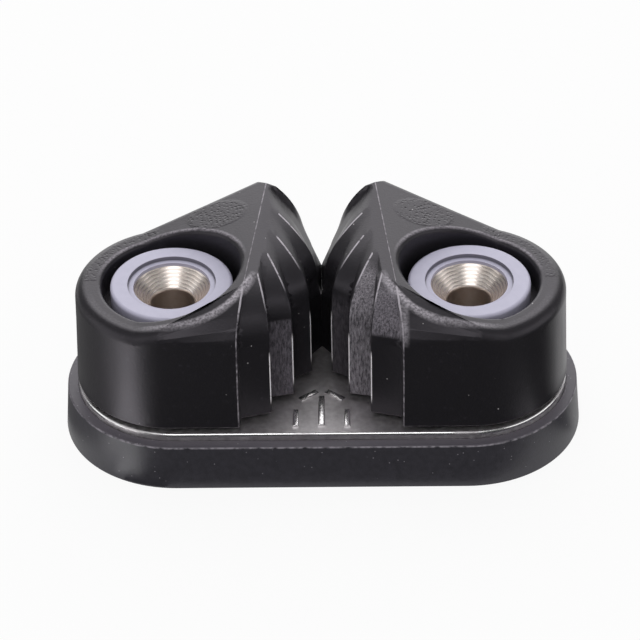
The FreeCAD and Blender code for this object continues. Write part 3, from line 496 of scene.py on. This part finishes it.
# %% Polished stainless steel for the plate
def polished_steel(name, dull, bright, smooth, rough):
    """Pressed stainless sheet, clouded between two tones and roughnesses, with a bright rim."""
    material, shader = new_finish(name, Metallic=1.0)
    place = add(material, "ShaderNodeTexCoord").outputs["Object"]
    height = add(material, "ShaderNodeSeparateXYZ", Vector=place).outputs["Z"]
    top = PLATE_TOP / MM
    spread = add(material, "ShaderNodeTexNoise", Vector=place, Scale=grains(9.0), Detail=2.0)
    stretch = add(material, "ShaderNodeMapRange", Value=spread.outputs[0], From_Min=0.42, From_Max=0.5)
    rim = where_all(material, band(material, height, top - 0.5, top - 0.4, top - 0.02, top - 0.004),
                    stretch.outputs[0])
    cloud = add(material, "ShaderNodeTexNoise", Vector=place, Scale=grains(0.8), Detail=6.0)
    tone = painted(material, cloud.outputs[0], dull, bright)
    tone = painted(material, rim, tone, "#ffffff")
    gloss = add(material, "ShaderNodeMapRange", Value=cloud.outputs[0], To_Min=smooth, To_Max=rough)
    smoothed = add(material, "ShaderNodeMix", {"data_type": "FLOAT"}, in0=rim, in2=gloss.outputs[0], in3=0.16)
    peel = add(material, "ShaderNodeTexNoise", Vector=place, Scale=grains(0.6), Detail=4.0)
    bump = add(material, "ShaderNodeBump", Height=peel.outputs[0], Strength=0.6, Distance=0.04 * MM)
    join(material, tone, shader.inputs["Base Color"])
    join(material, smoothed.outputs[0], shader.inputs["Roughness"])
    join(material, bump.outputs[0], shader.inputs["Normal"])
    return material


sheet_steel = polished_steel("polished_stainless_sheet", "#c2bcbf", "#fdfafc", 0.36, 0.66)
burnished_steel = polished_steel("burnished_stainless_mark", "#f1edef", "#fffdfe", 0.2, 0.3)
print("finishes:", sheet_steel.name, burnished_steel.name)

# %% [markdown]
# The springs are drawn stainless wire. Drawing leaves a smooth skin with faint cloudy
# streaks, so a gentle roughness with a little fine noise is enough at this size, and more
# would never be seen inside the cams.

# %% Drawn wire for the springs
def drawn_wire():
    """Stainless spring wire, drawn smooth."""
    material, shader = new_finish("drawn_stainless_wire", Metallic=1.0)
    place = add(material, "ShaderNodeTexCoord").outputs["Object"]
    streak = add(material, "ShaderNodeTexNoise", Vector=place, Scale=grains(0.35), Detail=3.0)
    gloss = add(material, "ShaderNodeMapRange", Value=streak.outputs[0], To_Min=0.22, To_Max=0.34)
    join(material, painted(material, streak.outputs[0], "#9c9890", "#c4c0ba"), shader.inputs["Base Color"])
    join(material, gloss.outputs[0], shader.inputs["Roughness"])
    return material


spring_wire = drawn_wire()
print("finish:", spring_wire.name)

# %% [markdown]
# The solids keep their own shape, and a finish goes on by giving the object's mesh one
# material. The cams come next, because their edges need more than a finish.

# %% Dress the solids
FINISHES = {
    "base_riser": polypropylene,
    "base_plate": sheet_steel,
    "sleeve_left": lathe_steel,
    "sleeve_right": lathe_steel,
    "bush_left": bush_acetal,
    "bush_right": bush_acetal,
    "thrust_washer_left": washer_acetal,
    "thrust_washer_right": washer_acetal,
    "spring_left": spring_wire,
    "spring_right": spring_wire,
}
for node, finish in FINISHES.items():
    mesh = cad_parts[node].data
    mesh.materials.clear()
    mesh.materials.append(finish)
print("dressed", len(FINISHES), "solids")

# %% [markdown]
# A real cam has no knife edges. Each crest is rounded a little by the mould and then by rope, and that narrow
# round catches the light; its finish adds a painted highlight. A copy of the solid is merged from its loose
# triangles and its flat parts are made whole, so that only true edges are left.
# The pocket's lip gets a wide round. The front corner and the crests of the first four teeth
# are then followed from the foot up over the crown, always along the sharpest edge that goes
# on ahead, and get a narrow bevel. The last tooth's crest stays as it is: it all but meets
# the other cam's, and a bevel there only left jagged shading.
#
# Radii and heights below are in millimetres, and so are places in plan, read from the pivot
# with +X towards the rope. The lines are those of the front corner and the first three
# crests in plan, each from its foot to the crown, because the finishes need them too. Of the
# fourth crest only the foot is needed.

# %% Choosing edges
CREST_WIDTH = 0.24 * MM
EDGE_ROUND = 0.08 * MM
LIP_ROUND = 0.6 * MM
OUTSIDE_RADIUS = 12.5
FOOT_HEIGHT = 8.0
CROWN_HEIGHT = 24.9
CREST_LINES = (
    ((8.7, -12.9), (8.8, -10.9), (9.4, -5.3), (9.9, 0.0)),
    ((12.7, -9.8), (12.2, -7.6), (11.7, -5.2), (11.1, -2.4)),
    ((15.5, -6.0), (14.7, -4.2), (13.5, -1.3), (12.0, 2.2)),
    ((17.7, -1.4), (16.8, 0.0), (15.4, 2.2), (13.4, 5.2)),
)
FOURTH_FOOT = (18.9, 4.1)
CREST_FEET = (*[line[0] for line in CREST_LINES], FOURTH_FOOT)


def only(piece):
    """Selects this piece alone and makes it active."""
    bpy.ops.object.select_all(action="DESELECT")
    piece.select_set(True)
    bpy.context.view_layer.objects.active = piece


def from_pivot(point):
    """A point of either cam as seen from its pivot, in millimetres, with +X towards the rope."""
    return Vector((PIVOT - abs(point.x), point.y, point.z)) / MM


def edge_middle(edge):
    """The middle of an edge, seen from the pivot."""
    return from_pivot((edge.verts[0].co + edge.verts[1].co) / 2)


def pocket_lip(mesh):
    """The edges of the pocket's top rim round the bush."""
    found = []
    for edge in mesh.edges:
        middle = edge_middle(edge)
        off = abs(middle.xy.length - POCKET_RADIUS)
        if middle.z > BACK_TOP - 0.8 and off < 0.05 and edge.calc_face_angle(0) > math.radians(24):
            found.append(edge)
    return found


def crest_from(mesh, foot):
    """The edges of one crest, from its foot in plan up to the crown."""
    start = Vector((*foot, FOOT_HEIGHT))
    at = min(mesh.verts, key=lambda v: (from_pivot(v.co) - start).length)
    heading = Vector((0, 0, 1))
    crest = []
    while from_pivot(at.co).z < CROWN_HEIGHT:
        ahead = []
        for edge in at.link_edges:
            step = (from_pivot(edge.other_vert(at).co) - from_pivot(at.co)).normalized()
            sharp = edge.calc_face_angle_signed(0)
            if edge not in crest and step.dot(heading) > 0.35 and sharp > math.radians(3):
                ahead.append((sharp * step.dot(heading), step, edge))
        if not ahead:
            break
        _, heading, edge = max(ahead, key=lambda found: found[0])
        crest.append(edge)
        at = edge.other_vert(at)
    return crest


def all_crests(mesh):
    """The edges of the front corner and of the first four crests."""
    return [edge for foot in CREST_FEET for edge in crest_from(mesh, foot)]


def ridge_and_foot(mesh):
    """The long ridge of the crown, and the sharp edges of the foot outside the recess."""
    found = []
    for edge in mesh.edges:
        middle = edge_middle(edge)
        long_ridge = edge.calc_length() > 15 * MM and middle.z > 24
        outside = middle.z < FOOT_HEIGHT + 0.2 and middle.xy.length > OUTSIDE_RADIUS
        if long_ridge or (outside and edge.calc_face_angle(0) > math.radians(60)):
            found.append(edge)
    return found


def bevel(piece, choose, width, segments, slot, kind="OFFSET"):
    """Bevels the edges that are chosen, and gives the new faces a material slot."""
    mesh = bmesh.from_edit_mesh(piece.data)
    bpy.ops.mesh.select_all(action="DESELECT")
    chosen = choose(mesh)
    for edge in chosen:
        edge.select_set(True)
    bmesh.update_edit_mesh(piece.data)
    bpy.ops.mesh.bevel(offset=width, offset_type=kind, segments=segments, affect="EDGES",
                       material=slot, clamp_overlap=False)
    return len(chosen)


print("edge tests ready")

# %% [markdown]
# Four steps of the jaws have the coarse skin: on the left cam the foot of the second, and on
# the right cam the head of the first, the whole of the second and, faintly, the foot of the
# third. A face could be picked by its number, but that changes with each change of shape.
# So a face belongs to a step when it faces the load and its middle lies between two of the
# crests' lines in plan.

# %% The steps of the jaw
CAM_SLOTS = (nylon, rubbed_crest_and_highlight, arc_highlight, scuffed_edge_and_highlight,
             coarse_foot, coarse_head, coarse_nylon, faint_coarse)
PLAIN, CREST, ARC, EDGE = range(4)
COARSE_STEPS = {
    "cam_left": {2: coarse_foot},
    "cam_right": {1: coarse_head, 2: coarse_nylon, 3: faint_coarse},
}
CROWN_FACES = 25.2


def beyond(line, x, y):
    """Whether a place lies on the rope's side of a crest line, read at its own Y."""
    for (x0, y0), (x1, y1) in zip(line, line[1:]):
        if y < y1:
            return x > x0 + (x1 - x0) * max(0.0, (y - y0) / (y1 - y0))
    return x > line[-1][0]


def step_of(face):
    """The number of the jaw's step that a face belongs to, or 0."""
    x, y, z = from_pivot(face.center)
    if z > CROWN_FACES or face.normal.y > -0.05:
        return 0
    return sum(beyond(line, x, y) for line in CREST_LINES)


print("coarse steps:", {cam: sorted(steps) for cam, steps in COARSE_STEPS.items()})

# %% [markdown]
# Each cam is then built in one go. The bevels bring their own slots: rubbed by rope and with a bright painted
# highlight on the crests, a greyer painted highlight on their arcs over the crown, and scuffed with a fainter
# painted highlight at the front corner, the ridge and the foot. The last teeth of the two cams meet at rest,
# so their crests are drawn out to the middle. A bevel this narrow tilts the shading of the wide faces beside
# it, and weighted normals give those faces their own flat shading back.

# %% Cams with rounded, rubbed edges and painted highlights
CORNER_REACH = 2.2
ARC_START = 19.0
NEAR_MIDDLE = 0.3 * MM
MEETING_TOP = 16.6 * MM
MEETING_FRONT = 3.5 * MM
MEETING_GAP = 0.0005 * MM


def close_the_jaws(piece):
    """Draws the crests that nearly touch the middle plane out to it."""
    moved = 0
    for vertex in piece.data.vertices:
        at = vertex.co
        if abs(at.x) < NEAR_MIDDLE and at.z < MEETING_TOP and at.y > MEETING_FRONT:
            vertex.co.x = math.copysign(MEETING_GAP, at.x)
            moved += 1
    return moved


def finish_faces(piece, steps):
    """Gives the bevels and the coarse steps of a cam their own finishes, by place."""
    corner = Vector(CREST_FEET[0])
    for face in piece.data.polygons:
        middle = from_pivot(face.center)
        if face.material_index == CREST and (middle.xy - corner).length < CORNER_REACH:
            face.material_index = EDGE
        elif face.material_index == CREST and middle.z > ARC_START:
            face.material_index = ARC
        finish = steps.get(step_of(face))
        if finish and face.material_index == PLAIN:
            face.material_index = CAM_SLOTS.index(finish)


def worn_cam(node, body):
    """A cam with a round lip, rubbed crests with painted highlights, and finishes by place, in the solid's
    stead.
    """
    piece = bpy.data.objects.new(node + "_worn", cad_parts[node].data.copy())
    bpy.context.scene.collection.objects.link(piece)
    piece.data.materials.clear()
    for finish in CAM_SLOTS:
        piece.data.materials.append(finish)
    only(piece)
    bpy.ops.object.mode_set(mode="EDIT")
    bpy.ops.mesh.select_all(action="SELECT")
    bpy.ops.mesh.remove_doubles(threshold=0.002 * MM)
    bpy.ops.mesh.dissolve_limited(angle_limit=math.radians(0.1))
    bpy.ops.mesh.select_mode(type="EDGE")
    lip = bevel(piece, pocket_lip, LIP_ROUND, 4, PLAIN)
    crests = bevel(piece, all_crests, CREST_WIDTH, 2, CREST, kind="WIDTH")
    others = bevel(piece, ridge_and_foot, EDGE_ROUND, 2, EDGE)
    bpy.ops.object.mode_set(mode="OBJECT")
    moved = close_the_jaws(piece)
    finish_faces(piece, COARSE_STEPS[node])
    bpy.ops.object.shade_smooth_by_angle(angle=math.radians(42))
    bpy.ops.object.modifier_add(type="WEIGHTED_NORMAL")
    piece.modifiers[-1].keep_sharp = True
    bpy.ops.object.modifier_apply(modifier=piece.modifiers[-1].name)
    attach(piece, body)
    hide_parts(node)
    print(piece.name, "has", lip, "lip edges,", crests, "crest edges,", others, "others,", moved, "drawn out")


for node, body in (("cam_left", "left_cam"), ("cam_right", "right_cam")):
    worn_cam(node, body)

# %% [markdown]
# The plate is pressed with a raised mark between the cams that shows which way the rope
# runs: an arrow from the load to the nose with a short bar on each side. Each stroke starts
# as a block, gets its length and turn, and has its top edges rounded as a press leaves them.
# The strokes stand a little apart, sink a little into the plate, and are joined into one
# piece. A bump in the material would be quicker, but it wouldn't catch the light at its rim.

# %% Raised mark on the plate
MARK_RISE = 0.3 * MM
MARK_SINK = 0.1 * MM
MARK_ROUND = 0.16 * MM


def stroke(name, middle, length, width, turn):
    """One raised stroke: a block with rounded top edges, its sizes in mm and its turn in degrees."""
    bpy.ops.object.select_all(action="DESELECT")
    height = MARK_RISE + MARK_SINK
    level = PLATE_TOP + MARK_RISE - height / 2
    bpy.ops.mesh.primitive_cube_add(size=1, location=(middle[0] * MM, middle[1] * MM, level))
    piece = bpy.context.object
    piece.name = name
    piece.scale = (width * MM, length * MM, height)
    piece.rotation_euler = (0, 0, math.radians(turn))
    bpy.ops.object.transform_apply(location=True, rotation=True, scale=True)
    bpy.ops.object.mode_set(mode="EDIT")
    bpy.ops.mesh.select_mode(type="EDGE")
    mesh = bmesh.from_edit_mesh(piece.data)
    for edge in mesh.edges:
        edge.select_set(all(corner.co.z > level for corner in edge.verts))
    bmesh.update_edit_mesh(piece.data)
    bpy.ops.mesh.bevel(offset=MARK_ROUND, segments=3, affect="EDGES")
    bpy.ops.object.mode_set(mode="OBJECT")
    return piece


strokes = [
    stroke("plate_mark", (0.0, -8.75), 6.0, 0.9, 0),
    stroke("head_left", (-1.7, -5.65), 2.9, 0.9, -52),
    stroke("head_right", (1.7, -5.65), 2.9, 0.9, 52),
    stroke("bar_left", (-3.3, -10.2), 3.4, 0.8, 0),
    stroke("bar_right", (3.3, -10.2), 3.4, 0.8, 0),
]
only(strokes[0])
for piece in strokes[1:]:
    piece.select_set(True)
bpy.ops.object.join()
mark = bpy.context.object
mark.data.materials.append(burnished_steel)
bpy.ops.object.shade_smooth_by_angle(angle=math.radians(40))
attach(mark, "base")
print("mark:", len(mark.data.polygons), "faces")

# %% [markdown]
# The photograph is a small studio picture on white. The floor is a wide pale sheet that
# keeps the cleat's own soft shadow, and shows as white to the camera and in polished metal.
# A stronger lamp would whiten it too, but it would wash out the cleat. The floor lies a hair
# below the riser, so that the two faces don't claim the same place.

# %% Floor
FLOOR_DROP = 0.02 * MM
WHITE_SHARE = 0.91


def shows_white(material):
    """One for the rays that see the background: straight from the camera, by gloss or through glass."""
    path = add(material, "ShaderNodeLightPath")
    seen = add(material, "ShaderNodeMath", {"operation": "MAXIMUM"},
               in0=path.outputs["Is Camera Ray"], in1=path.outputs["Is Glossy Ray"])
    either = add(material, "ShaderNodeMath", {"operation": "MAXIMUM"},
                 in0=seen.outputs[0], in1=path.outputs["Is Transmission Ray"])
    return either.outputs[0]


def bare_material(name):
    """A material whose nodes are all still to come."""
    material = bpy.data.materials.new(name)
    material.use_nodes = True
    material.node_tree.nodes.clear()
    return material


bpy.ops.object.select_all(action="DESELECT")
bpy.ops.mesh.primitive_grid_add(x_subdivisions=4, y_subdivisions=4, size=6.0, location=(0, 0, -FLOOR_DROP))
floor = bpy.context.object
floor.name = "studio_floor"
bpy.ops.object.transform_apply(location=True)
paper = bare_material("white_studio_paper")
matt = add(paper, "ShaderNodeBsdfDiffuse", Color=linear("#e6e6e6"))
glow = add(paper, "ShaderNodeEmission", Strength=1.0)
part_seen = add(paper, "ShaderNodeMath", {"operation": "MULTIPLY"}, in0=shows_white(paper), in1=WHITE_SHARE)
mixed = add(paper, "ShaderNodeMixShader", Fac=part_seen.outputs[0], in1=matt.outputs[0], in2=glow.outputs[0])
add(paper, "ShaderNodeOutputMaterial", Surface=mixed.outputs[0])
floor.data.materials.append(paper)
print("floor", floor.name)

# %% [markdown]
# Light comes from a white room, from one wide soft panel behind and above the cleat, and
# from a smaller one over the camera. The wide panel is what the tops mirror. Room and
# panels together light a flat white card to about white, so colours render about as written.

# %% Light
room = bpy.data.worlds.new("white_room")
bpy.context.scene.world = room
room.use_nodes = True
room.node_tree.nodes.clear()
lit = add(room, "ShaderNodeBackground", Color=(1, 1, 1, 1), Strength=0.6)
seen = add(room, "ShaderNodeBackground", Color=(1, 1, 1, 1), Strength=1.0)
mixed = add(room, "ShaderNodeMixShader", Fac=shows_white(room), in1=lit.outputs[0], in2=seen.outputs[0])
add(room, "ShaderNodeOutputWorld", Surface=mixed.outputs[0])


def soft_panel(name, toward, distance, size, watts):
    """A square soft light that shines at the cleat from this direction, with its sizes in metres."""
    data = bpy.data.lights.new(name, "AREA")
    data.shape = "SQUARE"
    data.size = size
    data.energy = watts
    panel = bpy.data.objects.new(name, data)
    bpy.context.scene.collection.objects.link(panel)
    panel.location = Vector(toward).normalized() * distance
    panel.rotation_euler = (-panel.location).to_track_quat("-Z", "Y").to_euler()
    panel.visible_camera = False


soft_panel("panel_behind", (0.0, 0.78, 0.63), 0.8, 1.2, 5.0)
soft_panel("panel_over_camera", (-0.1, -0.62, 0.78), 0.7, 0.4, 0.8)

# %% [markdown]
# Glossy black plastic looks like what it mirrors. In the studio the camera's side was dark,
# so the fronts of the cams mirror black and only turn pale round the corner to the left.
# A photographer gets that with cards. Black ones lie on the floor before and beside the
# cleat, and a grey one lies to its left. Dim ones hang overhead and out to both sides, and
# stand in front and at the sides. Two narrow bright ones lie at the left corner, one for the
# glint on the riser and one for that on the cam. Only rays of gloss see the cards, so they
# neither show nor shade anything.

# %% Cards for the gloss
def card_paper(name, kind, **inputs):
    """A card's paper from one shader: matt and lit by the room, or with an even glow of its own."""
    paper = bare_material(name)
    face = add(paper, kind, **inputs)
    add(paper, "ShaderNodeOutputMaterial", Surface=face.outputs[0])
    return paper


black_paper = card_paper("black_card", "ShaderNodeBsdfDiffuse", Color=linear("#141414"))
grey_paper = card_paper("grey_card", "ShaderNodeEmission", Color=linear("#888888"), Strength=1.0)
dim_paper = card_paper("dim_card", "ShaderNodeEmission", Color=linear("#707070"), Strength=1.0)
bright_paper = card_paper("bright_card", "ShaderNodeEmission", Color=(1, 1, 1, 1), Strength=3.0)


def card(name, corner, size, turn, paper, level):
    """A level card, in mm and degrees: its back left corner, its size and its turn about that corner."""
    bpy.ops.object.select_all(action="DESELECT")
    bpy.ops.mesh.primitive_grid_add(x_subdivisions=2, y_subdivisions=2, size=1)
    piece = bpy.context.object
    piece.name = name
    piece.scale = (size[0] * MM, size[1] * MM, 1)
    bpy.ops.object.transform_apply(scale=True)
    piece.data.transform(Matrix.Translation((size[0] * MM / 2, -size[1] * MM / 2, 0)))
    piece.data.transform(Matrix.Rotation(math.radians(turn), 4, "Z"))
    piece.data.transform(Matrix.Translation((corner[0] * MM, corner[1] * MM, level * MM)))
    piece.data.materials.append(paper)
    for flag in ("visible_camera", "visible_diffuse", "visible_shadow", "visible_transmission"):
        setattr(piece, flag, False)
    return piece


def standing_card(name, middle, size, turn):
    """A dim card that stands upright: its middle and size in mm, and its turn in plan in degrees."""
    piece = card(name, (-size[0] / 2, size[1] / 2), size, 0, dim_paper, 0.0)
    piece.data.transform(Matrix.Rotation(math.radians(90), 4, "X"))
    piece.data.transform(Matrix.Rotation(math.radians(turn), 4, "Z"))
    piece.data.transform(Matrix.Translation([v * MM for v in middle]))
    return piece


cards = [
    card("card_front", (-24.0, -16.0), (400, 400), 0, black_paper, 0.1),
    card("card_front_left", (-23.7, -11.6), (400, 400), -44, black_paper, 0.2),
    card("card_right", (34.5, -4.4), (400, 110), 27, black_paper, 0.1),
    card("card_left", (-434.5, 60.0), (400, 73), 0, grey_paper, 0.1),
    card("card_glint_riser", (-24.6, -16.6), (30, 4.5), 223, bright_paper, 0.3),
    card("card_glint_cam", (-29.7, -18.8), (40, 7), 214, bright_paper, 0.4),
    card("card_overhead", (-600.0, 270.0), (1200, 470), 0, dim_paper, 500.0),
    card("card_side_left", (-600.0, 500.0), (400, 800), 0, dim_paper, 450.0),
    card("card_side_right", (200.0, 500.0), (400, 800), 0, dim_paper, 450.0),
    standing_card("card_before_camera", (0, -600, 450), (1200, 900), 0),
    standing_card("card_stands_left", (-300, 300, 225), (460, 450), 90),
    standing_card("card_stands_right", (300, 300, 150), (460, 300), 90),
]
print(len(cards), "cards placed")

# %% [markdown]
# The camera stands about 38 cm off, 39 degrees above the floor and square on, with a long
# lens, so the far cam looks hardly smaller than the near edge. The picture's middle is above
# the cleat's origin, which the lens shift gives without tilting the view. The lens and the
# shift are named in the picture's own pixels, and turned into what Blender asks for.

# %% Camera
IMAGE = 640
FOCAL_PIXELS = 2871.3
SHIFT_PIXELS = (-2.9, 92.5)
SENSOR_MM = 36.0
DIRECTION = Vector((0.01426, -0.7752, 0.6316))
DISTANCE = 0.380
ROLL = math.radians(-1.129)

camera = bpy.data.objects.new("camera", bpy.data.cameras.new("camera"))
bpy.context.scene.collection.objects.link(camera)
bpy.context.scene.camera = camera
camera.location = DIRECTION * DISTANCE
aim = (-DIRECTION).to_track_quat("-Z", "Y").to_matrix().to_4x4()
camera.rotation_euler = (aim @ Matrix.Rotation(ROLL, 4, "Z")).to_euler()
camera.data.sensor_width = SENSOR_MM
camera.data.lens = SENSOR_MM * FOCAL_PIXELS / IMAGE
camera.data.shift_x = SHIFT_PIXELS[0] / IMAGE
camera.data.shift_y = SHIFT_PIXELS[1] / IMAGE
camera.data.clip_start = 0.01
camera.data.clip_end = 20.0
bpy.context.scene.view_settings.view_transform = "Standard"
print("lens", round(camera.data.lens, 1), "mm")
